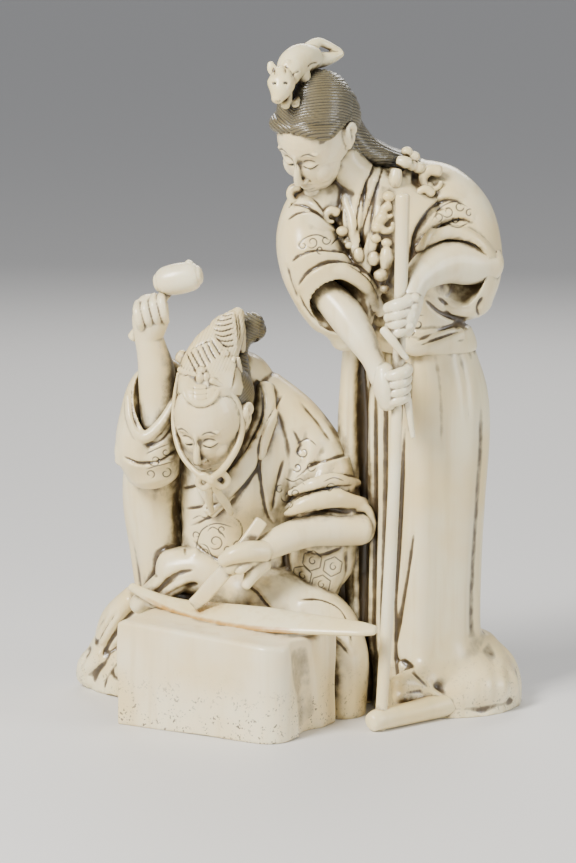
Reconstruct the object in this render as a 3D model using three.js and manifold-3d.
// A carved group of a swordsmith and a standing helper: the smith kneels at the anvil block with
// a raised mallet and holds a blade with tongs, the helper leans over a long sledge hammer and
// carries a small fox on the hair. Millimetres and degrees, z up, the viewer stands at -y.
import * as THREE from 'three';
import { mergeVertices } from 'three/addons/utils/BufferGeometryUtils.js';
import Module from 'manifold-3d';

const wasm = await Module();
wasm.setup();

// Driving dimensions
const clearance = 0.3;          // gap between separate pieces where they meet
const helperHeight = 180;       // ground to the top of the fox
const smithHeight = 108.8;      // ground to the tip of the cap
const blockLength = 49;
const blockWidth = 30.8;
const blockHeight = 25.5;
const blockEdge = 1.4;          // bevel along the top edges
const blockTurn = -29.8;
const blockCornerRadius = 4;    // rounding of the corner nearest the viewer
const coveRadius = 5.5;         // hollow down the end face of the block
const coveDepth = 2.4;
const coveTilt = 20;
const bladeLength = 76;         // tip to tip
const bladeWidth = 9.4;
const bladeThickness = 3.8;
const tongsWidth = 4;
const tongsThickness = 1.7;
const sledgeLength = 139.5;     // rod, from the ground up
const sledgeRod = 3.2;          // diameter
const sledgeBow = 0.9;          // how far the rod bends off the straight
const sledgeHeadLength = 31;
const sledgeHeadDiameter = 5.9;
const sledgeHeadTurn = 40;
const malletRod = 2.7;          // diameter
const malletRodLength = 24;
const malletHeadLength = 13;
const malletHeadDiameter = 8.2;
const malletPeg = 1.2;          // end of the rod that shows beyond the head

// Facets that each carved figure is brought down to before it is cut to its neighbours, and the
// shortest edge that a cut may leave
const figureFacets = 3400;
const shortestEdge = 0.02;

// Finishes
const ivory = { color: '#eadfc6', roughness: 0.34, metalness: 0 };
const stainedIvory = { color: '#e3d2ac', roughness: 0.36, metalness: 0 };

const towardsBack = new THREE.Vector3(0, 1, 0);
const rad = THREE.MathUtils.degToRad;
const vec = (p) => new THREE.Vector3(p[0], p[1], p[2]);

// Closed skin over rings of equal size, each a list of points, with a point at either end
function skin(rings, first, last) {
  const positions = [];
  const index = [];
  const sides = rings[0].length;
  rings.flat().forEach((p) => positions.push(p.x, p.y, p.z));
  for (let row = 0; row + 1 < rings.length; row += 1) {
    for (let i = 0; i < sides; i += 1) {
      const a = row * sides + i;
      const b = row * sides + (i + 1) % sides;
      index.push(a, b, b + sides, a, b + sides, a + sides);
    }
  }
  const low = rings.length * sides;
  const top = (rings.length - 1) * sides;
  positions.push(first.x, first.y, first.z, last.x, last.y, last.z);
  for (let i = 0; i < sides; i += 1) {
    const next = (i + 1) % sides;
    index.push(low, next, i, low + 1, top + i, top + next);
  }
  const geometry = new THREE.BufferGeometry();
  geometry.setAttribute('position', new THREE.Float32BufferAttribute(positions, 3));
  geometry.setIndex(index);
  return geometry;
}

// Solid from a three.js geometry
function solid(geometry) {
  const bare = geometry.clone();
  bare.deleteAttribute('normal');
  bare.deleteAttribute('uv');
  const merged = mergeVertices(bare, 1e-4);
  const made = new wasm.Manifold(new wasm.Mesh({
    numProp: 3,
    vertProperties: new Float32Array(merged.attributes.position.array),
    triVerts: new Uint32Array(merged.index.array),
  }));
  return made;
}

const join = (solids) => solids.reduce((sum, next) => sum.add(next));
const cut = (body, tools) => tools.reduce((rest, tool) => rest.subtract(tool), body);

// The outer skin alone: loose crumbs and shut hollows of a cut are dropped
function outer(body) {
  const parts = body.decompose();
  return parts.reduce((best, next) => (next.volume() > best.volume() ? next : best));
}

// Squared distance of a point to the planes gathered in a quadric of ten numbers
function misfit(q, [x, y, z]) {
  return q[0] * x * x + 2 * q[1] * x * y + 2 * q[2] * x * z + 2 * q[3] * x + q[4] * y * y
    + 2 * q[5] * y * z + 2 * q[6] * y + q[7] * z * z + 2 * q[8] * z + q[9];
}

// Facet normal with the length of twice the facet's area
function facetNormal(a, b, c) {
  const [ux, uy, uz] = [b[0] - a[0], b[1] - a[1], b[2] - a[2]];
  const [vx, vy, vz] = [c[0] - a[0], c[1] - a[1], c[2] - a[2]];
  return [uy * vz - uz * vy, uz * vx - ux * vz, ux * vy - uy * vx];
}

// Where two folds just meet at a point, each draws back a little towards its own neighbours
function partPinches(points, faces) {
  const beside = new Map();
  faces.forEach((face) => face.forEach((i) => beside.set(i, [...(beside.get(i) ?? []), ...face])));
  const places = new Map();
  [...beside.keys()].forEach((i) => {
    const place = points[i].map((v) => v.toFixed(2)).join();
    places.set(place, [...(places.get(place) ?? []), i]);
  });
  [...places.values()].filter((group) => group.length > 1).flat().forEach((i) => {
    const near = beside.get(i);
    const mean = [0, 1, 2].map((k) => near.reduce((sum, j) => sum + points[j][k], 0) / near.length);
    const away = Math.hypot(...mean.map((v, k) => v - points[i][k])) || 1;
    points[i] = points[i].map((v, k) => v + (mean[k] - v) * shortestEdge / away);
  });
}

// Merge the edges that matter least to the shape, of those shorter than reach, until a number of
// facets is left
function coarsen(body, facets, reach = Infinity) {
  const source = body.getMesh();
  const points = [];
  for (let i = 0; i < source.vertProperties.length; i += 3) {
    points.push(Array.from(source.vertProperties.subarray(i, i + 3)));
  }
  let faces = [];
  for (let i = 0; i < source.triVerts.length; i += 3) faces.push(Array.from(source.triVerts.subarray(i,
    i + 3)));
  const quadrics = points.map(() => new Float64Array(10));
  faces.forEach((face) => {
    const n = facetNormal(...face.map((i) => points[i]));
    const size = Math.hypot(...n) || 1e-12;
    const [a, b, c] = n.map((v) => v / size);
    const d = -(a * points[face[0]][0] + b * points[face[0]][1] + c * points[face[0]][2]);
    const terms = [a * a, a * b, a * c, a * d, b * b, b * c, b * d, c * c, c * d, d * d];
    face.forEach((i) => terms.forEach((term, k) => {
      quadrics[i][k] += term * size;
    }));
  });
  while (faces.length > facets) {
    const around = points.map(() => []);
    faces.forEach((face, k) => face.forEach((i) => around[i].push(k)));
    const edges = [];
    faces.forEach((face) => face.forEach((a, k) => {
      const b = face[(k + 1) % 3];
      const length = Math.hypot(...points[a].map((v, i) => v - points[b][i]));
      if (a > b || length > reach) return;
      const sum = quadrics[a].map((v, i) => v + quadrics[b][i]);
      const middle = points[a].map((v, i) => (v + points[b][i]) / 2);
      const spots = [middle, points[a], points[b]].map((spot) => [misfit(sum, spot), spot]);
      spots.sort((p, q) => p[0] - q[0]);
      edges.push([spots[0][0] + 1e-4 * length * length, a, b, spots[0][1], sum]);
    }));
    edges.sort((p, q) => p[0] - q[0]);
    const touched = new Uint8Array(points.length);
    const gone = new Uint8Array(faces.length);
    const quota = Math.max(1, Math.min(Math.ceil((faces.length - facets) / 2),
      Math.ceil(edges.length / 12)));
    let merged = 0;
    for (const [, a, b, spot, sum] of edges) {
      if (merged >= quota) break;
      const ring = new Set([...around[a], ...around[b]].flatMap((k) => faces[k]));
      if ([...ring].some((i) => touched[i])) continue;
      const beside = (i) => new Set(around[i].flatMap((k) => faces[k]));
      const besideB = beside(b);
      const shared = [...beside(a)].filter((i) => i !== a && i !== b && besideB.has(i));
      if (shared.length !== 2) continue;
      const both = (k) => faces[k].includes(a) && faces[k].includes(b);
      const kept = [...around[a], ...around[b]].filter((k) => !both(k));
      const sound = kept.every((k) => {
        const before = facetNormal(...faces[k].map((i) => points[i]));
        const after = facetNormal(...faces[k].map((i) => (i === a || i === b ? spot : points[i])));
        const dot = before[0] * after[0] + before[1] * after[1] + before[2] * after[2];
        const [sizeBefore, sizeAfter] = [Math.hypot(...before), Math.hypot(...after)];
        return sizeBefore < 1e-3 || (dot > 0.25 * sizeBefore * sizeAfter && sizeAfter > Math.min(0.01,
          sizeBefore / 2));
      });
      if (!sound) continue;
      around[a].filter(both).forEach((k) => {
        gone[k] = 1;
      });
      around[b].forEach((k) => {
        faces[k] = faces[k].map((i) => (i === b ? a : i));
      });
      points[a] = spot;
      quadrics[a] = sum;
      ring.forEach((i) => {
        touched[i] = 1;
      });
      merged += 1;
    }
    faces = faces.filter((_, k) => !gone[k]);
    if (merged === 0) break;
  }
  partPinches(points, faces);
  const geometry = new THREE.BufferGeometry();
  geometry.setAttribute('position', new THREE.Float32BufferAttribute(points.flat(), 3));
  geometry.setIndex(faces.flat());
  return solid(geometry);
}

// Largest body of a cut, without slivers
const neat = (body) => coarsen(outer(body), 0, shortestEdge);

const blend = (a, b, t) => a + (b - a) * t;
const spline = (values, t) => {
  const last = values.length - 1;
  const at = Math.min(Math.floor(t * last), last - 1);
  const f = t * last - at;
  const [p0, p1, p2, p3] = [-1, 0, 1, 2].map((k) => values[Math.min(Math.max(at + k, 0), last)]);
  return 0.5 * (2 * p1 + (p2 - p0) * f + (2 * p0 - 5 * p1 + 4 * p2 - p3) * f * f
    + (3 * p1 - p0 - 3 * p2 + p3) * f * f * f);
};

// Sweep through stations [x, y, z, half width, half depth]. Sections stand square to the path, or
// lie level when upright is set. Relief adds to the radius at an angle and a share of the length:
// 0 degrees is to the right, 90 away from the viewer and 270 towards the viewer.
function sweep(stations, options = {}) {
  const { sides = 14, steps = 3, upright = false, scale = 1, grow = 0 } = options;
  const { relief = () => 0, round = 0.7, box = 1 } = options;
  const column = (k) => stations.map((s) => s[k] * scale);
  const columns = [0, 1, 2, 3, 4].map(column);
  const at = (t) => vec(columns.slice(0, 3).map((c) => spline(c, t)));
  const rows = (stations.length - 1) * steps;
  const ring = (t, centre, tangent, shrink) => {
    const across = upright ? new THREE.Vector3(1, 0, 0)
      : new THREE.Vector3().crossVectors(towardsBack, tangent).normalize();
    const deep = upright ? towardsBack : new THREE.Vector3().crossVectors(tangent, across);
    const wide = spline(columns[3], t) + grow;
    const depth = spline(columns[4], t) + grow;
    return Array.from({ length: sides }, (_, i) => {
      const angle = (i / sides) * 2 * Math.PI;
      const c = Math.cos(angle);
      const s = Math.sin(angle);
      const raise = relief(360 * i / sides, t) * scale;
      const u = (Math.sign(c) * Math.abs(c) ** box * wide + c * raise) * shrink;
      const v = (Math.sign(s) * Math.abs(s) ** box * depth + s * raise) * shrink;
      return centre.clone().addScaledVector(across, u).addScaledVector(deep, v);
    });
  };
  const tangentAt = (t) => {
    const e = 0.02;
    return at(Math.min(t + e, 1)).sub(at(Math.max(t - e, 0))).normalize();
  };
  const rings = [];
  for (let row = 0; row <= rows; row += 1) {
    rings.push(ring(row / rows, at(row / rows), tangentAt(row / rows), 1));
  }
  const cap = (t, sign) => {
    const tangent = tangentAt(t);
    const reach = round * (Math.min(spline(columns[3], t), spline(columns[4], t)) + grow);
    const tip = at(t).addScaledVector(tangent, sign * Math.max(reach, grow));
    const middle = at(t).addScaledVector(tangent, sign * reach * 0.62);
    return { tip, ring: ring(t, middle, tangent, 0.74) };
  };
  const start = cap(0, -1);
  const end = cap(1, 1);
  if (round > 0) {
    rings.unshift(start.ring);
    rings.push(end.ring);
  }
  return solid(skin(rings, start.tip, end.tip));
}

// Relief made of creases [angle at the start, angle at the end, from, to, width in degrees, depth]
function creases(list) {
  return (angle, t) => list.reduce((sum, [first, last, from, to, width, depth]) => {
    const share = (t - from) / (to - from);
    if (share < 0 || share > 1) return sum;
    const away = ((angle - blend(first, last, share)) % 360 + 540) % 360 - 180;
    const fade = Math.min(1, share * 5 + 0.25, (1 - share) * 5 + 0.25);
    return sum - depth * fade * Math.exp(-((away / width) ** 2));
  }, 0);
}

// Ellipsoid turned by a matrix of its own axes
function egg(centre, radii, axes = new THREE.Matrix4(), wide = 12, high = 8) {
  const geometry = new THREE.SphereGeometry(1, wide, high);
  geometry.applyMatrix4(new THREE.Matrix4().makeScale(...radii));
  geometry.applyMatrix4(axes);
  geometry.translate(...centre);
  return solid(geometry);
}

function box(size, centre, turn = 0) {
  const geometry = new THREE.BoxGeometry(...size);
  geometry.rotateZ(rad(turn));
  geometry.translate(...centre);
  return solid(geometry);
}

// Space under the ground
const underground = box([400, 400, 60], [0, 0, -30]);

// Axes of a head that faces the viewer, turned to the viewer's left, bowed and leaned
function headAxes(turn, bow, lean) {
  const matrix = new THREE.Matrix4().makeRotationZ(rad(-turn));
  matrix.multiply(new THREE.Matrix4().makeRotationX(rad(bow)));
  matrix.multiply(new THREE.Matrix4().makeRotationY(rad(lean)));
  return matrix;
}

// Point of a head given in its own axes: right, back, up
function onHead(centre, axes, offset) {
  return vec(offset).applyMatrix4(axes).add(vec(centre)).toArray();
}

// Finger curled around a rod: part of a flat ring about a point, from one angle to another
function finger(centre, radius, from, to, thick, scale, rise = 0) {
  const count = 5;
  const stations = Array.from({ length: count }, (_, i) => {
    const t = i / (count - 1);
    const angle = rad(blend(from, to, t));
    const z = centre[2] + rise * t;
    return [centre[0] + radius * Math.cos(angle), centre[1] + radius * Math.sin(angle), z, thick, thick];
  });
  return sweep(stations, { sides: 6, steps: 2, scale });
}

// Calm, plain head: skull, jaw, nose, brow, ear; all sizes are shares of the face's own height
function headForms(centre, axes, height, scale) {
  const at = (offset) => onHead(centre, axes, offset.map((v) => v * height));
  const size = (radii) => radii.map((v) => v * height * scale);
  const place = (p) => p.map((v) => v * scale);
  return [
    egg(place(at([0, 0.02, 0.07])), size([0.345, 0.40, 0.43]), axes, 12, 8),
    egg(place(at([0, -0.12, -0.2])), size([0.27, 0.27, 0.3]), axes, 10, 6),
    egg(place(at([0, -0.385, -0.03])), size([0.05, 0.055, 0.12]), axes, 5, 4),
    egg(place(at([0.34, 0.03, 0.0])), size([0.05, 0.09, 0.14]), axes, 5, 4),
    egg(place(at([-0.34, 0.03, 0.0])), size([0.05, 0.09, 0.14]), axes, 5, 4),
  ];
}

// Helper
const helperScale = helperHeight / 180;
const gripHigh = [26.2, -22.3, 109];
const gripLow = [25.6, -23.3, 90];
const rodFoot = [22.0, -26.6, 0];

const helperRobe = {
  skirt: [
    [[39.6, 2, 0, 19.6, 16.5], [39.2, 2.2, 6, 19, 16], [36.2, 3.2, 12.5, 16.6, 15],
      [33.8, 4, 20, 15.9, 14.2], [33.9, 4, 38, 15.8, 14], [34.4, 4, 56, 16.1, 14.5],
      [35, 4, 74, 16.6, 15], [35, 3.8, 86, 15.8, 14.3], [34.8, 3, 96, 12.9, 11.6],
        [34, 2, 101.5, 12.2, 10.4]],
    { upright: true, sides: 44, steps: 2, round: 0, relief: creases([
      [246, 240, 0, 0.72, 6, 1.5], [233, 230, 0.05, 0.95, 6, 1.3], [219, 218, 0.05, 1, 6, 1.4],
      [205, 204, 0, 1, 6, 1.2], [258, 250, 0.02, 0.5, 5, 0.8], [327, 334, 0.12, 0.86, 8, 0.7],
      [300, 306, 0, 0.2, 9, 1.2], [20, 24, 0, 0.95, 8, 1.2], [48, 50, 0, 0.9, 8, 1.4],
      [80, 78, 0, 0.95, 8, 1.5], [112, 108, 0, 0.9, 8, 1.4], [146, 140, 0, 0.95, 8, 1.3]]) },
  ],
  sidePleat: [
    [[17.6, 8, 0, 3.6, 6.8], [17.2, 8, 16, 3.4, 6.6], [15.9, 8, 33, 3.4, 6], [14.8, 8, 55, 3.2, 6],
      [13.8, 8, 74, 3.0, 6], [14.1, 7, 88, 2.6, 5.5], [15.2, 6, 101, 2.8, 5.5]],
    { upright: true, sides: 12, steps: 2, round: 0 },
  ],
  backPleat: [
    [[22, 10.5, 0, 6.5, 6.5], [21, 10.5, 40, 6, 6], [20.5, 9.5, 75, 6, 6], [21, 7.5, 101, 5.5, 5]],
    { upright: true, sides: 12, steps: 2, round: 0 },
  ],
};

function helperRobeForms(grow) {
  return Object.values(helperRobe).map(([stations, options]) => {
    const lowered = stations.map((s, i) => (i === 0 ? [s[0], s[1], s[2] - 1, s[3], s[4]] : s));
    return sweep(lowered, { ...options, scale: helperScale, grow });
  });
}

function helperForms() {
  const scale = helperScale;
  const form = (stations, options = {}) => sweep(stations, { scale, ...options });
  const train = form([[52, 6.5, -1, 9.2, 12], [52.1, 6.5, 5, 9.2, 12], [51.2, 7, 11.5, 8, 10.6],
    [49, 8, 16.2, 5.6, 7.4]], { upright: true, sides: 18, steps: 2, relief: creases([
    [300, 290, 0, 1, 12, 1.2], [350, 345, 0, 1, 12, 1.4], [40, 30, 0, 1, 12, 1.2]]) });
  const hemRoll = form([[33.5, -12.6, 8.4, 1.8, 1.7], [40, -13.4, 10.6, 2, 1.8],
    [47.5, -11, 14, 1.9, 1.7], [52, -5.6, 16.2, 1.5, 1.6]], { sides: 8, steps: 2 });
  const slipper = form([[37, -9, 10.6, 3, 3.5], [31.5, -13, 10.2, 3.4, 3.8], [27, -16, 9.4, 2.8, 3.2]],
    { sides: 10, steps: 2 });
  const slipperFold = form([[37, -11, 5.2, 2.6, 3], [31, -14.4, 6, 2.8, 3], [26.6, -17, 6.8, 2.2, 2.4]],
    { sides: 8, steps: 2 });
  const sash = form([[34.3, 2.4, 97.2, 13.6, 11.6], [33.6, 2, 99.6, 14, 11.8],
    [32.6, 1.4, 103, 13.6, 11.4]],
    { upright: true, sides: 20, steps: 2, round: 0.15 });
  const chest = form([[33.7, 2, 99, 12.3, 10.3], [31.5, 1, 105, 12.9, 10.6], [29.6, 0, 111, 13.4, 10.7],
    [25.7, -2, 121, 14.8, 10.5], [22.5, -3, 130.5, 16.8, 10], [21.2, -3, 137, 16.2, 9],
    [19.6, -3.6, 141.6, 11, 7.4]], { upright: true, sides: 22, steps: 2, relief: creases([
    [40, 60, 0, 0.9, 12, 0.9], [90, 90, 0, 1, 10, 0.9], [140, 120, 0, 0.9, 12, 0.9]]) });
  const yoke = form([[8, -1, 133.6, 6.6, 8], [20, 0.6, 138.4, 6.8, 8.6], [33, 3, 138, 6.6, 9]],
    { sides: 14, steps: 2 });
  const neck = form([[19.6, -4, 137, 7.2, 6.6], [15.5, -6.6, 143.5, 5.2, 5.6], [11.4, -8.6, 149, 5.2, 5.6]],
    { sides: 12, steps: 2 });

  // Sleeve on the right of the picture, with folds over the forearm and a hanging bag below
  const farSleeve = form([[31, 4, 142.6, 5.4, 8], [36.8, 4, 138.2, 8.8, 9.6], [40.6, 2.4, 132, 11, 10.4],
    [42.5, 0.6, 124.6, 11.4, 10.6], [43.2, -1, 117, 10.7, 9.8], [43.2, -1, 110.6, 8.6, 8.2]],
  { sides: 18, steps: 2, relief: creases([[250, 285, 0.25, 0.8, 12, 1.1], [215, 250, 0.2, 0.7, 12, 1.0],
    [300, 320, 0.45, 1, 10, 0.9], [60, 40, 0.1, 0.9, 14, 1.1], [110, 100, 0.2, 1, 14, 1.1]]) });
  const farHollow = form([[45.5, -7, 117.5, 4, 4.4], [41, -11.4, 113.8, 6.4, 4.6],
    [38.5, -14.5, 110.5, 6.2, 4.2]],
    { sides: 10, steps: 2 });
  const farForearm = form([[50, -2.6, 120.4, 5.2, 5.6], [44.8, -6, 120.7, 5.7, 5.9],
    [39.9, -9, 121.5, 5.7, 5.8],
    [35, -13, 120.5, 5.2, 5.1], [30.9, -17, 117.5, 4, 4.3], [29, -20, 113.4, 3.5, 4]],
      { sides: 12, steps: 2 });
  const farCuffs = [
    [[31.5, -13.6, 125, 1.1, 1.4], [36.3, -11.6, 129, 1.3, 1.5], [42, -9.6, 129.4, 1.4, 1.6],
      [47.5, -8, 126, 1.4, 1.6], [51.6, -5.5, 120.8, 1.3, 1.6], [50.8, -4.4, 114.4, 1.1, 1.5]],
    [[32, -10.4, 128.6, 1, 1.2], [36.8, -8.6, 133.2, 1.3, 1.3], [43.6, -6.6, 133.4, 1.4, 1.4],
      [49.6, -4.4, 128.4, 1.3, 1.4]],
  ].map((path) => form(path, { sides: 6, steps: 2 }));

  // Sleeve on the left of the picture, open towards the viewer around the other forearm
  const nearSleeve = form([[12.5, -2, 141, 5.2, 6], [5.6, -4, 136, 7.6, 8], [2.3, -6, 128.4, 7.8, 9],
    [4.5, -8, 120.5, 9.2, 10], [9.6, -8.8, 112.8, 10.2, 9.8], [12.2, -7, 105.6, 8.2, 8.2],
    [12.6, -6, 100.6, 4, 5.6]], { sides: 18, steps: 2, relief: creases([
    [300, 262, 0.12, 0.5, 12, 1.1], [322, 270, 0.22, 0.62, 12, 1.0], [60, 80, 0.1, 0.9, 14, 1],
    [190, 205, 0.4, 1, 12, 1.0], [235, 235, 0.1, 0.4, 10, 0.8]]) });
  const nearHollow = form([[6, -11.5, 115.6, 4.6, 4.8], [10.4, -16.4, 111.2, 7.4, 6.4],
    [14, -20, 107, 8.2, 7]],
    { sides: 12, steps: 2 });
  const nearForearm = form([[5.6, -9.6, 114.6, 4, 4.6], [10, -13, 110.8, 4.6, 4.9],
    [13.4, -16, 106.9, 4.7, 4.7],
    [16.7, -19, 102.1, 3.9, 4], [19.6, -21, 97, 2.9, 3.5], [21.4, -22, 92.4, 2.8, 3.2]],
      { sides: 12, steps: 2 });
  const nearCuff = form([[0.6, -12.8, 113.8, 1.3, 1.5], [5.4, -16, 118.6, 1.5, 1.6],
    [11.8, -16.4, 119.2, 1.5, 1.6],
    [17.6, -14.6, 115.2, 1.4, 1.6], [20.4, -11.6, 109.6, 1.2, 1.5]], { sides: 6, steps: 2 });

  // Collars crossing on the chest and the looped sash
  const collars = [
    [[12.6, -9.4, 139, 1.4, 1.5], [13.6, -13, 130, 1.9, 1.4], [17, -13.4, 120, 2, 1.4],
      [22, -11.2, 108, 1.8, 1.3]],
    [[25.2, -6, 145, 1.5, 1.7], [22.4, -11.2, 137, 2, 1.6], [19.4, -13.6, 127, 2, 1.5],
      [17.4, -13.8, 118, 1.7, 1.3]],
    [[29, -4, 144.6, 1.4, 1.6], [27, -9.4, 137, 1.9, 1.5], [24, -12.2, 126, 2, 1.4],
      [21, -12.4, 114, 1.7, 1.2]],
  ].map((path) => form(path, { sides: 6, steps: 2, box: 0.8 }));
  const loop = form([[27, -9, 101.6, 1.6, 1.6], [30.4, -9.6, 99, 2.4, 1.8], [36, -8.4, 99.6, 2, 1.8],
    [43, -5.6, 102.2, 1.6, 1.6]], { sides: 8, steps: 2 });

  // Hands one above the other around the rod, with four fingers each
  const spacing = 2.3;
  const hands = [
    form([[29.4, -20.6, 113, 3.3, 3.8], [28.6, -21.2, 108.6, 2.9, 4.6], [27.6, -21.6, 104.6, 2.2, 3.8]],
      { sides: 10, steps: 2 }),
    form([[22.4, -22.4, 94.6, 3, 3.6], [22.6, -22.8, 90, 3, 4.6], [23.6, -22.8, 85.8, 2.4, 3.6]],
      { sides: 10, steps: 2 }),
    form([[22.2, -24.6, 105.4, 1.1, 1.2], [24.6, -25.6, 102.4, 1.3, 1.3], [28, -25, 98.6, 0.9, 1]],
      { sides: 6, steps: 2 }),
    form([[28.4, -23.6, 87, 1.1, 1.1], [29.1, -24, 81.6, 1.3, 1.2], [29.9, -24, 77.4, 1.1, 1]],
      { sides: 6, steps: 2 }),
  ];
  for (let i = 0; i < 4; i += 1) {
    const high = gripHigh[2] + 3.3 - i * spacing;
    const low = gripLow[2] + 3.5 - i * spacing;
    hands.push(finger([gripHigh[0], gripHigh[1], high], 3.3, 330, 150, 1.25, scale, -0.8));
    hands.push(finger([gripLow[0], gripLow[1], low], 3.3, 215, 400, 1.25, scale, 0.4));
  }

  // Head with a cap of combed hair, hair falling over the back, and a jewel string
  const headAt = [4.6, -11.6, 153.6];
  const axes = headAxes(38, 25, 10);
  const head = headForms(headAt, axes, 27, scale);
  const up = (offset) => onHead(headAt, axes, offset).map((v) => v * scale);
  const hair = [
    egg(up([0, 3.2, 4.6]), [10.3, 12.2, 11.6].map((v) => v * scale), axes, 14, 8),
    form([[12.6, -6, 156.6, 4.4, 7], [17, -3, 151.4, 4, 7.4], [23, 0.6, 148, 3.4, 7],
      [30, 4.4, 145.2, 3.4, 6.6], [34.6, 8.4, 140.6, 4, 5], [35, 10.6, 131, 4.6, 3.4],
        [34, 11.4, 119, 3.6, 2.2]],
    { sides: 14, steps: 2, relief: creases([[250, 262, 0, 1, 14, 0.6], [285, 300, 0, 1, 14, 0.6],
      [215, 225, 0, 1, 14, 0.6], [90, 90, 0, 1, 14, 0.6]]) }),
  ];
  const jewels = [
    [28.4, -6, 150.6, 1.9], [26.6, -8, 147.4, 2], [24.8, -9.6, 144.4, 2], [32.4, -5.6, 147.4, 1.9],
    [34.6, -5.4, 144.2, 2.5], [37.8, -4.4, 142.2, 2.1], [23.6, -12.4, 138.4, 2], [23, -13.6, 134.4, 2.2],
    [22.4, -14.4, 130.2, 1.9], [21.6, -14.8, 126.6, 1.9], [20.4, -15, 122.6, 2], [8.4, -12.4, 135.6, 1.7],
    [11.2, -13.6, 132, 1.8], [14, -14.6, 128.4, 1.8], [-0.4, -9.6, 140.6, 1.9], [-1.6, -8.4, 137.4, 1.8],
  ].map(([x, y, z, r]) => egg([x, y, z].map((v) => v * scale), [r, r * 0.9, r].map((v) => v * scale),
    undefined, 6, 4));

  // Fox lying over the crown: back, head with ears, forelegs, hind leg and tail
  const fox = [
    form([[-2.4, -21.6, 170.6, 3, 3.2], [-1.4, -19, 173, 3.9, 3.6], [0.8, -16, 174.5, 4, 3.6],
      [3.4, -12, 174.6, 3.4, 3.4]], { sides: 12, steps: 2 }),
    form([[-4.2, -23.4, 171, 2.6, 2.7], [-4.2, -24.8, 168.7, 3.3, 3.2], [-4.6, -26, 166.3, 2.6, 2.8],
      [-5.4, -27.4, 164.2, 1.3, 1.6]], { sides: 10, steps: 2 }),
    form([[3.2, -12, 174.2, 2.3, 2.4], [6.3, -10, 174.1, 2.1, 2], [9.4, -8, 174.8, 1.4, 1.5],
      [11.2, -7, 175.6, 1, 1.2]],
      { sides: 8, steps: 2 }),
    form([[2.4, -12, 175.6, 2.2, 2.2], [3.4, -11, 177.2, 1.9, 1.8], [5.4, -9.4, 178.5, 1.5, 1.5],
      [8, -8, 177.6, 1.2, 1.3], [10.8, -7, 176, 1, 1.1]], { sides: 8, steps: 2 }),
    form([[0.6, -18, 171.9, 2.4, 2.3], [1.9, -17.6, 169.3, 2, 2], [2, -18.6, 167, 1.4, 1.6],
      [0.6, -20.6, 164.8, 1.2, 1.4], [-0.6, -22.6, 163.4, 1.3, 1.3]], { sides: 6, steps: 2 }),
    form([[-3, -21, 168, 1.6, 1.6], [-2.6, -22.4, 165, 1.3, 1.4], [-3.2, -24, 163.2, 1.3, 1.3]],
      { sides: 6, steps: 2 }),
    form([[-5.4, -23.6, 171.6, 1.2, 0.9], [-6.6, -23.2, 173.4, 0.6, 0.5]], { sides: 6, steps: 2 }),
    form([[-2.8, -23.2, 171.8, 1.2, 0.9], [-3.1, -22.4, 173.9, 0.6, 0.5]], { sides: 6, steps: 2 }),
  ];

  return { robe: [train, hemRoll, slipper, slipperFold, sash, chest, yoke, neck], near: nearSleeve,
    nearHollow,
    far: farSleeve, farHollow, rest: [farForearm, nearForearm, nearCuff, loop, ...farCuffs, ...collars,
      ...hands, ...head, ...hair, ...jewels, ...fox] };
}

// Sledge hammer: bowed rod from the ground through both hands, and the head lying on the ground
const rodAxis = (() => {
  const foot = vec(rodFoot).multiplyScalar(helperScale).setZ(clearance);
  const grip = vec(gripHigh).multiplyScalar(helperScale);
  const along = grip.clone().sub(foot).normalize();
  return { foot, along };
})();

function sledgeRodForm(grow) {
  const count = 9;
  const stations = Array.from({ length: count }, (_, i) => {
    const t = i / (count - 1);
    const p = rodAxis.foot.clone().addScaledVector(rodAxis.along, t * sledgeLength);
    const bow = sledgeBow * (1 - (2 * t - 1) ** 2) - sledgeBow * 0.35;
    const r = sledgeRod / 2 * blend(0.96, 1.06, t);
    return [p.x + bow, p.y, p.z, r, r];
  });
  return sweep(stations, { sides: 12, steps: 1, grow, round: 0.5 });
}

function sledgeHeadForm(grow) {
  const r = sledgeHeadDiameter / 2;
  const along = new THREE.Vector3(Math.cos(rad(sledgeHeadTurn)), Math.sin(rad(sledgeHeadTurn)), 0);
  const start = rodAxis.foot.clone().setZ(r + 0.02).addScaledVector(along, -r * 1.15);
  const shape = [[0, 0.9], [0.12, 1], [0.5, 0.92], [0.88, 0.84], [1, 0.74]];
  const stations = shape.map(([t, share]) => {
    const p = start.clone().addScaledVector(along, t * sledgeHeadLength);
    return [p.x, p.y, share * r + 0.02, share * r, share * r];
  });
  return sweep(stations, { sides: 14, steps: 1, grow, round: 0.35 });
}

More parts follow.
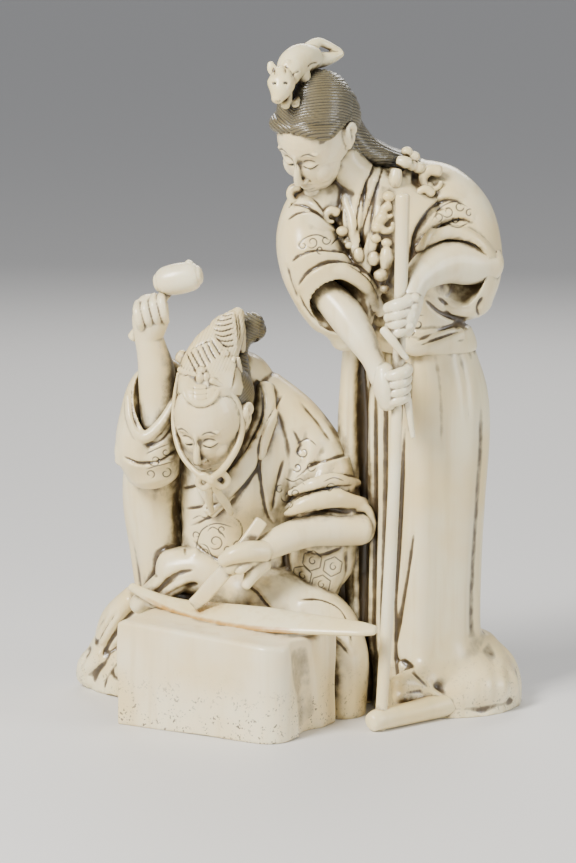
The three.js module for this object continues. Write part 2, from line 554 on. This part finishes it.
// Block with one rounded corner and a hollow down its end face
const blockCentre = [-18.7, -19, blockHeight / 2];
function blockForm() {
  const [l, w, r] = [blockLength / 2, blockWidth / 2, blockCornerRadius];
  const outline = new THREE.Shape();
  outline.moveTo(-l, -w);
  outline.lineTo(l - r, -w);
  outline.absarc(l - r, -w + r, r, -Math.PI / 2, 0);
  outline.lineTo(l, w);
  outline.lineTo(-l, w);
  outline.closePath();
  const bevel = { bevelEnabled: true, bevelThickness: blockEdge, bevelSize: blockEdge,
    bevelOffset: -blockEdge,
    bevelSegments: 2, curveSegments: 4 };
  const body = new THREE.ExtrudeGeometry(outline, { depth: blockHeight, ...bevel });
  body.translate(0, 0, -blockEdge);
  const cove = new THREE.CylinderGeometry(coveRadius, coveRadius, blockHeight * 2, 20);
  cove.rotateX(Math.PI / 2);
  cove.rotateX(rad(coveTilt));
  cove.translate(l + coveRadius - coveDepth, 0, blockHeight / 2);
  const block = [body, cove].map((geometry) => {
    geometry.rotateZ(rad(blockTurn));
    geometry.translate(blockCentre[0], blockCentre[1], 0);
    return solid(geometry);
  });
  return neat(cut(block[0], [block[1], underground]));
}

const blockRoom = box([blockLength + 2 * clearance, blockWidth + 2 * clearance,
  blockHeight + 2 * clearance],
  blockCentre, blockTurn);

// Blade lying over the block, both ends beyond it: a lens section along a gentle curve
const bladeMiddle = [-12.4, -15.8];
const bladeSide = 4.2;          // how far the middle lies nearer the viewer than the ends
const bladeRise = [3.6, -0.3];  // tips above and below the middle
const bladeRest = blockHeight + clearance + bladeThickness / 2;

function bladeForm(grow) {
  const count = 13;
  const stations = Array.from({ length: count }, (_, i) => {
    const t = (2 * i) / (count - 1) - 1;
    const tip = Math.max(0, Math.abs(t) - 0.35) / 0.65;
    const turned = new THREE.Vector3(t * (bladeLength / 2 - 1), -bladeSide * (1 - t * t), 0)
      .applyAxisAngle(new THREE.Vector3(0, 0, 1), rad(blockTurn));
    const rise = (t < 0 ? bladeRise[0] : bladeRise[1]) * tip * tip;
    return [bladeMiddle[0] + turned.x, bladeMiddle[1] + turned.y, bladeRest + rise,
      bladeThickness / 2 * (1 - 0.3 * tip * tip), bladeWidth / 2 * (1 - 0.66 * tip ** 1.7)];
  });
  return sweep(stations, { sides: 10, steps: 1, grow, round: 0.8 });
}

// Smith
const smithScale = smithHeight / 108.8;
const gripMallet = [-38.6, -4.4, 107.2];
const gripTongs = [-16, -15.4, 43.6];
const tongsFront = [-26, -13.4, 0];

function tongsForm(grow) {
  const grip = gripTongs.map((v) => v * smithScale);
  const rest = bladeRest + bladeThickness / 2 + clearance + tongsThickness / 2;
  const thick = tongsThickness / 2;
  const wide = tongsWidth / 2;
  const stations = [
    [grip[0] + 6.4, grip[1] + 2.6, grip[2] + 9.4, wide * 0.8, thick],
    [grip[0] + 2.6, grip[1] + 1, grip[2] + 4, wide * 0.9, thick],
    [grip[0] - 2, grip[1] - 0.6, grip[2] - 2, wide, thick],
    [blend(grip[0], tongsFront[0], 0.72), blend(grip[1], tongsFront[1], 0.6), blend(grip[2], rest, 0.62),
      wide, thick],
    [tongsFront[0] + 0.9, tongsFront[1] - 0.2, rest + 2.0, wide, thick],
    [tongsFront[0] - 1.2, tongsFront[1], rest + 0.4, wide * 0.9, thick],
  ];
  return sweep(stations, { sides: 8, steps: 1, box: 0.55, grow, round: 0.4 });
}

// The mallet's handle passes through the raised fist, a third of it below the fingers
const malletAxis = (() => {
  const grip = vec(gripMallet).multiplyScalar(smithScale);
  const along = new THREE.Vector3(9.8, -2, 12.8).normalize();
  const below = malletRodLength * 0.34;
  return { grip, along, below };
})();

function malletRodForm(grow) {
  const { grip, along, below } = malletAxis;
  const stations = [0, 0.5, 1].map((t) => {
    const p = grip.clone().addScaledVector(along, t * malletRodLength - below);
    const r = malletRod / 2 * blend(1.08, 0.92, t);
    return [p.x, p.y, p.z, r, r];
  });
  return sweep(stations, { sides: 10, steps: 1, grow, round: 0.5 });
}

function malletHeadForm(grow) {
  const up = malletRodLength - malletAxis.below - malletHeadDiameter / 2 - malletPeg;
  const centre = malletAxis.grip.clone().addScaledVector(malletAxis.along, up);
  const along = new THREE.Vector3(0.97, -0.12, 0.2).normalize();
  const shape = [[-0.5, 0.62], [-0.36, 0.9], [0, 1], [0.34, 0.9], [0.5, 0.66]];
  const stations = shape.map(([t, share]) => {
    const p = centre.clone().addScaledVector(along, t * malletHeadLength * 0.86);
    const r = share * malletHeadDiameter / 2;
    return [p.x, p.y, p.z, r, r];
  });
  return sweep(stations, { sides: 12, steps: 1, grow, round: 0.45 });
}

function smithForms() {
  const scale = smithScale;
  const form = (stations, options = {}) => sweep(stations, { scale, ...options });

  // Robe over the seat, the folded leg beside the block and the raised knee at the left
  const seat = form([[-14, 17.5, -1, 31.5, 15.5], [-14, 17.5, 10, 31.5, 15.5], [-14, 16.5, 20, 29.5, 15],
    [-15, 14, 30, 22, 14.4], [-15.8, 11.4, 38, 17.6, 13.8]], { upright: true, sides: 28, steps: 2, round: 0,
    relief: creases([[30, 40, 0, 0.9, 9, 1.6], [60, 66, 0, 1, 9, 1.8], [92, 92, 0, 1, 9, 1.6],
      [124, 118, 0, 1, 9, 1.8], [152, 142, 0, 0.9, 9, 1.6]]) });
  const body = form([[-15.8, 11.4, 33, 18, 14], [-15.5, 10, 43.6, 15.8, 13], [-14.4, 8.6, 57.8, 17.2, 13],
    [-14.1, 8, 71.4, 17.6, 12.5], [-15, 8.6, 80.4, 14.6, 11.2], [-16, 9.6, 86.6, 9.6, 9]],
  { upright: true, sides: 24, steps: 2, relief: creases([[60, 50, 0, 0.9, 10, 1.1], [95, 90, 0, 1, 10, 1.1],
    [130, 125, 0, 0.9, 10, 1.1]]) });
  const backNeck = form([[-12, 11, 82, 8, 7], [-13.6, 8.4, 88, 7, 6.6], [-16, 5, 91, 5.6, 6]],
    { sides: 12, steps: 2 });
  const raisedLeg = form([[-37, 19, -1, 8.4, 9.6], [-36.6, 18.6, 10, 8, 9.4], [-36.4, 18, 24, 7.6, 8.8],
    [-37.4, 15.6, 40, 8.2, 8.8], [-38.9, 13, 54, 8.4, 9], [-38.6, 10.4, 64, 7.8, 8.4], [-35, 9, 72, 6, 7]],
  { sides: 18, steps: 2, relief: creases([[200, 215, 0, 0.6, 12, 1.1], [330, 318, 0, 0.8, 12, 1.0],
    [90, 90, 0, 0.9, 14, 1.1], [40, 50, 0, 0.9, 14, 1.1]]) });
  const lap = form([[-34, 5, 36, 6, 6], [-26, 4, 36.5, 7, 7], [-15.5, 4, 31.4, 8.6, 10],
    [-3.3, 1, 27.6, 9.6, 10.5],
    [7, -2.6, 22.6, 8.8, 10], [12.2, -5.4, 15.6, 6.8, 9.4], [12.4, -6.4, 6, 6.4, 9],
      [12, -6.4, -1, 6.2, 9]],
  { sides: 16, steps: 2, relief: creases([[90, 90, 0.1, 0.6, 14, 1.1], [130, 140, 0, 0.6, 14, 1.0]]) });
  const lapFolds = [
    [[-26.6, 2, 41, 2.6, 3.4], [-32, 3, 37, 3, 4], [-38, 4.6, 31.4, 3, 4.4], [-43, 7, 26.6, 2.6, 4]],
    [[-28, 0.4, 35.6, 2, 3], [-33.6, 1.6, 32, 2.4, 3.4], [-39, 4, 28.4, 2.2, 3.4]],
  ].map((path) => form(path, { sides: 8, steps: 2 }));

  // Drapery trailing on the ground behind the block's left edge, and the tasselled end of the sash
  const trails = [
    [[-42, 20, 22.4, 3.6, 6], [-49, 22, 16.4, 4.4, 7], [-53.4, 23.6, 9, 4.8, 7],
      [-55.4, 24, 2.6, 5.4, 6.6]],
    [[-45, 18, 26.4, 3, 5], [-50.2, 19.6, 20.6, 3.4, 5.6], [-52.8, 21, 15, 3, 5.6]],
    [[-52, 20, 10.6, 3.6, 5], [-56.6, 23, 6.6, 3.8, 5.6], [-58.2, 25, 3.2, 3.1, 4.6]],
    [[-46, 20, 8, 7, 9], [-48, 21, 3, 8, 9], [-48.6, 21.4, -1, 8, 9]],
  ].map((path) => form(path, { sides: 10, steps: 2 }));
  const tassel = [0, 1, 2, 3].map((i) => form([[-49.4 - i * 0.9, 13.4 + i * 0.8, 6.4 - i * 0.2, 0.9, 0.9],
    [-51.2 - i * 0.7, 12.8 + i * 1.2, 3.4, 0.9, 0.9], [-51.6 - i * 1.1, 12.6 + i * 1.6, 0.6, 0.8, 0.8]],
  { sides: 6, steps: 2 }));

  // Left sleeve with rings of folds, its patterned bag hanging under the forearm
  const leftSleeve = form([[-9.5, 9.4, 83.4, 7.4, 9], [-2.4, 9, 75.2, 9.4, 10.2], [3.2, 7, 66.1, 10.4, 10],
    [7, 3.6, 57.6, 9.8, 9.6], [9.8, 1, 50.6, 8, 8.4]], { sides: 18, steps: 2, relief: creases([
    [245, 300, 0.3, 0.62, 14, 1.2], [235, 290, 0.45, 0.8, 12, 1.3], [232, 285, 0.6, 0.95, 11, 1.3],
    [60, 90, 0, 1, 16, 1.2], [340, 330, 0.1, 0.9, 14, 0.9]]) });
  const sleeveRings = [
    [[-6, -2.6, 62, 1.3, 1.5], [0.6, -6, 60.6, 1.6, 1.7], [8.4, -6, 57.8, 1.6, 1.8],
      [16.2, -1.6, 56, 1.4, 1.6]],
    [[-4, -4.6, 57.6, 1.4, 1.6], [2.6, -7.6, 56.4, 1.7, 1.8], [9.6, -7.4, 53.6, 1.7, 1.8],
      [16.8, -2.8, 51.4, 1.5, 1.7]],
  ].map((path) => form(path, { sides: 6, steps: 2 }));
  const bag = form([[7.6, 3, 50, 9, 7], [7, 2.6, 43.4, 9.2, 7.2], [6.2, 2.2, 37, 8.8, 7],
    [5.8, 2, 31.8, 5.8, 5.6]],
    { upright: true, sides: 18, steps: 2, relief: creases([[215, 225, 0, 0.9, 14, 0.9],
      [325, 318, 0, 0.9, 14, 0.9]]) });
  const leftForearm = form([[16.4, -1, 49, 4.6, 5.6], [10, -4, 49.4, 4.6, 5], [3.4, -7, 49.4, 4.3, 4.6],
    [-3.3, -10, 47.8, 4, 4.2], [-9.4, -12.4, 45.2, 3.4, 3.8], [-13.1, -14, 43.6, 3.2, 3.7]],
      { sides: 12, steps: 2 });
  const fist = form([[-12.6, -13.6, 44, 3.4, 4], [-16, -14.2, 43, 3.9, 4.3],
    [-18.4, -14.6, 41.2, 2.9, 3.6]],
    { sides: 10, steps: 2 });

  // Right sleeve fallen back from the raised arm, open upwards
  const shoulder = form([[-19, 9, 81, 8, 9], [-26.4, 8.6, 85.6, 6.4, 8.6], [-33, 7, 86.6, 5.4, 7.4]],
    { sides: 14, steps: 2 });
  const rightSleeve = form([[-33.6, 5.4, 89.4, 5.4, 6.4], [-37.6, 3, 85.4, 7.6, 7.8],
    [-38.9, 1.6, 77.4, 8.8, 8.2],
    [-39.6, 0.8, 70.4, 8.9, 7.8], [-38.6, 1.4, 64.2, 7.4, 6.8]], { sides: 16, steps: 2, relief: creases([
    [240, 280, 0.2, 0.9, 12, 1.1], [205, 215, 0.1, 1, 12, 1], [60, 70, 0, 1, 14, 1]]) });
  const sleeveMouth = form([[-38.4, -3, 76.4, 3.6, 4.4], [-38, -4, 84, 5.6, 6.4],
    [-37.6, -5, 92, 6.8, 7.6]], { sides: 12, steps: 2 });
  const sleeveRims = [
    [[-44.6, -1.6, 84.4, 1.2, 1.4], [-44.2, -5, 79.4, 1.4, 1.5], [-40.8, -7.4, 74.6, 1.5, 1.6],
      [-36, -7, 78.4, 1.4, 1.5], [-32.4, -4.6, 84, 1.3, 1.5]],
    [[-46.6, -1.6, 70.4, 1.4, 1.6], [-42.4, -6, 66.6, 1.6, 1.7], [-36, -6.4, 65.6, 1.6, 1.7],
      [-31, -4, 67.6, 1.4, 1.5]],
  ].map((path) => form(path, { sides: 6, steps: 2 }));
  const rightForearm = form([[-37.6, -0.4, 77.4, 4.2, 4.4], [-37.2, -1, 85.8, 5, 5],
    [-37.4, -2, 91.8, 4.9, 4.9],
    [-38.5, -3, 97.3, 4.1, 4.2], [-39.6, -3.8, 101.6, 3.7, 3.8]], { sides: 12, steps: 2 });
  const raisedFist = form([[-39.4, -3.6, 101, 3.9, 4], [-38.8, -4.2, 105.6, 4.9, 4.6],
    [-38.2, -4.6, 109.6, 4.2, 4]],
    { sides: 12, steps: 2 });

  // Fingers closed over the mallet's handle and over the tongs
  const fingers = [];
  for (let i = 0; i < 4; i += 1) {
    const x = -42 + i * 2.15;
    fingers.push(form([[x, -5, 109.8 + i * 0.9, 1.2, 1.4], [x - 0.2, -8.6, 108.4 + i * 0.9, 1.2, 1.2],
      [x + 0.5, -9, 105.4 + i * 0.8, 1.1, 1.2], [x + 1, -6.6, 103.4 + i * 0.7, 1, 1.1]],
        { sides: 6, steps: 2 }));
    const y = -12 - i * 1.9;
    fingers.push(form([[-14.2 - i * 0.3, y, 46.4 - i * 0.6, 1.1, 1.2],
      [-18.2 - i * 0.3, y - 0.6, 44.8 - i * 0.9, 1.15, 1.2],
      [-19.6, y - 0.4, 41.8 - i * 0.8, 1.1, 1.1], [-17.4, y, 39.4 - i * 0.4, 1, 1]],
        { sides: 6, steps: 2 }));
  }

  // Collars, sash and the ties of the cap
  const collars = [
    [[-8.6, 1, 86.6, 1.6, 2], [-8, -3.4, 80, 2.2, 2], [-10.6, -5.6, 71, 2.4, 1.8],
      [-16.4, -5.8, 61.4, 2.2, 1.6],
      [-22.6, -5, 54, 1.8, 1.4]],
    [[-4.8, 3.4, 84.4, 1.4, 2], [-3.6, -1.8, 76, 2, 2], [-5.6, -4.6, 66, 2.2, 1.8],
      [-11, -5.4, 56.4, 2, 1.6]],
    [[-26.6, -2.6, 69.6, 1.6, 1.6], [-24.4, -4.6, 62, 1.8, 1.6], [-20, -5.2, 56, 1.6, 1.4]],
    [[-30.2, -0.6, 57, 1.4, 1.6], [-24, -3.8, 53, 2.2, 1.8], [-14, -4.6, 50.6, 2.2, 1.8],
      [-5, -3, 51.6, 1.6, 1.6]],
  ].map((path) => form(path, { sides: 6, steps: 2, box: 0.8 }));
  const ties = [
    [[-15.6, -6, 89.6, 0.8, 0.8], [-13.4, -6.6, 82.6, 0.8, 0.8], [-13.6, -8.4, 74.6, 0.8, 0.8],
      [-17, -12, 67.4, 0.8, 0.8], [-22, -14.4, 65.2, 1, 1]],
    [[-21.6, -13.6, 64.6, 1, 1], [-19.4, -12.4, 60, 1, 0.9], [-17.6, -9.6, 55.6, 0.8, 0.8]],
    [[-22.6, -13.6, 64.6, 1, 1], [-22.6, -12, 60.4, 1, 0.9], [-22.4, -9.4, 57.4, 0.8, 0.8]],
  ].map((path) => form(path, { sides: 6, steps: 2 }));

  // Head, tall folded cap with a crescent brim and a bow behind, topknot
  const headAt = [-22.4, -7.4, 79.4];
  const axes = headAxes(24, 30, 4);
  const head = headForms(headAt, axes, 24.5, scale);
  const up = (offset) => onHead(headAt, axes, offset).map((v) => v * scale);
  const cap = [
    egg(up([0, 3, 3.6]), [8.9, 10.6, 10].map((v) => v * scale), axes, 12, 7),
    form([[-22.6, -8.4, 88.4, 7.4, 7.6], [-22.6, -7.4, 92.6, 7.2, 6.6], [-21.8, -5.6, 97, 6.2, 5.2],
      [-20.2, -4, 101, 4.5, 3.8], [-18.1, -2.6, 104.6, 3, 2.6], [-16.6, -1.8, 107.4, 1.6, 1.6]],
    { sides: 14, steps: 2, relief: creases([[255, 262, 0, 1, 11, 0.8], [290, 285, 0, 1, 11, 0.8],
      [222, 235, 0, 1, 11, 0.7], [90, 90, 0, 1, 14, 0.6]]) }),
    form([[-28.2, -12, 86.2, 1, 1.2], [-24.6, -16.4, 88.4, 2.2, 1.5], [-19.6, -15.6, 87.4, 1.9, 1.4],
      [-15.6, -11.6, 84.4, 0.9, 1.1]], { sides: 8, steps: 2 }),
    form([[-27.6, -10.4, 92.6, 1.1, 1.2], [-22.6, -13.6, 92, 1.4, 1.3], [-17, -10, 92.4, 1.1, 1.2]],
      { sides: 6, steps: 2 }),
    form([[-28.4, -6.6, 94.6, 2, 1.6], [-31, -6, 96.2, 1.8, 1.6]], { sides: 6, steps: 2 }),
    form([[-16, -3, 92.6, 2.6, 3.6], [-14.8, 1, 96.6, 1.8, 2.6], [-13.6, 3.4, 99.8, 2.2, 2.6],
      [-11.4, 5.4, 100.6, 3.2, 3.4],
      [-9.6, 6.8, 99.6, 2.2, 2.6]], { sides: 10, steps: 2 }),
    form([[-14.6, -0.6, 98, 1.1, 2.2], [-14.9, -0.8, 103, 1.1, 2], [-15.4, -1.4, 106.6, 0.8, 1.4]],
      { sides: 8, steps: 2 }),
  ];
  const neck = form([[-15.6, 4.6, 78, 7, 7.4], [-18.6, -0.4, 77.6, 6.6, 6.8]], { sides: 12, steps: 2 });

  return { robe: [seat, body, backNeck, raisedLeg, lap, ...lapFolds, ...trails, ...tassel, leftSleeve,
    ...sleeveRings, bag, shoulder], sleeve: rightSleeve, sleeveMouth,
  rest: [...sleeveRims, leftForearm, fist, rightForearm, raisedFist, ...fingers, ...collars, ...ties,
    ...head, ...cap, neck] };
}

// Pieces
function helper() {
  const forms = helperForms();
  const near = forms.near.subtract(forms.nearHollow);
  const far = forms.far.subtract(forms.farHollow);
  const body = join([...helperRobeForms(0), ...forms.robe, near, far, ...forms.rest]);
  const carved = coarsen(outer(body), figureFacets);
  return neat(cut(carved, [underground, sledgeRodForm(clearance), sledgeHeadForm(clearance)]));
}

function smith() {
  const forms = smithForms();
  const sleeve = forms.sleeve.subtract(forms.sleeveMouth);
  const body = join([...forms.robe, sleeve, ...forms.rest]);
  const carved = coarsen(outer(body), figureFacets);
  const tools = [blockRoom, ...[bladeForm, tongsForm, malletRodForm,
    malletHeadForm].map((form) => form(clearance))];
  return neat(cut(carved, [underground, ...tools, ...helperRobeForms(clearance)]));
}

const pieces = {
  helper: [helper(), ivory],
  smith: [smith(), ivory],
  anvil_block: [blockForm(), ivory],
  blade: [bladeForm(0), stainedIvory],
  tongs: [tongsForm(0), ivory],
  sledge_rod: [cut(sledgeRodForm(0), [underground]), ivory],
  sledge_head: [neat(cut(sledgeHeadForm(0), [underground, sledgeRodForm(clearance)])), stainedIvory],
  mallet_rod: [malletRodForm(0), ivory],
  mallet_head: [neat(cut(malletHeadForm(0), [malletRodForm(clearance)])), ivory],
};

function mesh(name, body, finish) {
  const { vertProperties, triVerts } = body.getMesh();
  const geometry = new THREE.BufferGeometry();
  geometry.setAttribute('position', new THREE.BufferAttribute(new Float32Array(vertProperties), 3));
  geometry.setIndex(new THREE.BufferAttribute(new Uint32Array(triVerts), 1));
  geometry.computeVertexNormals();
  const made = new THREE.Mesh(geometry, new THREE.MeshStandardMaterial(finish));
  made.name = name;
  return made;
}

// The group stands with the middle of its ground area at the origin
const okimono = new THREE.Group();
Object.entries(pieces).forEach(([name, [body, finish]]) => okimono.add(mesh(name, body, finish)));
const extent = new THREE.Box3().setFromObject(okimono);
okimono.position.set(-(extent.min.x + extent.max.x) / 2, -(extent.min.y + extent.max.y) / 2, 0);

export default okimono;
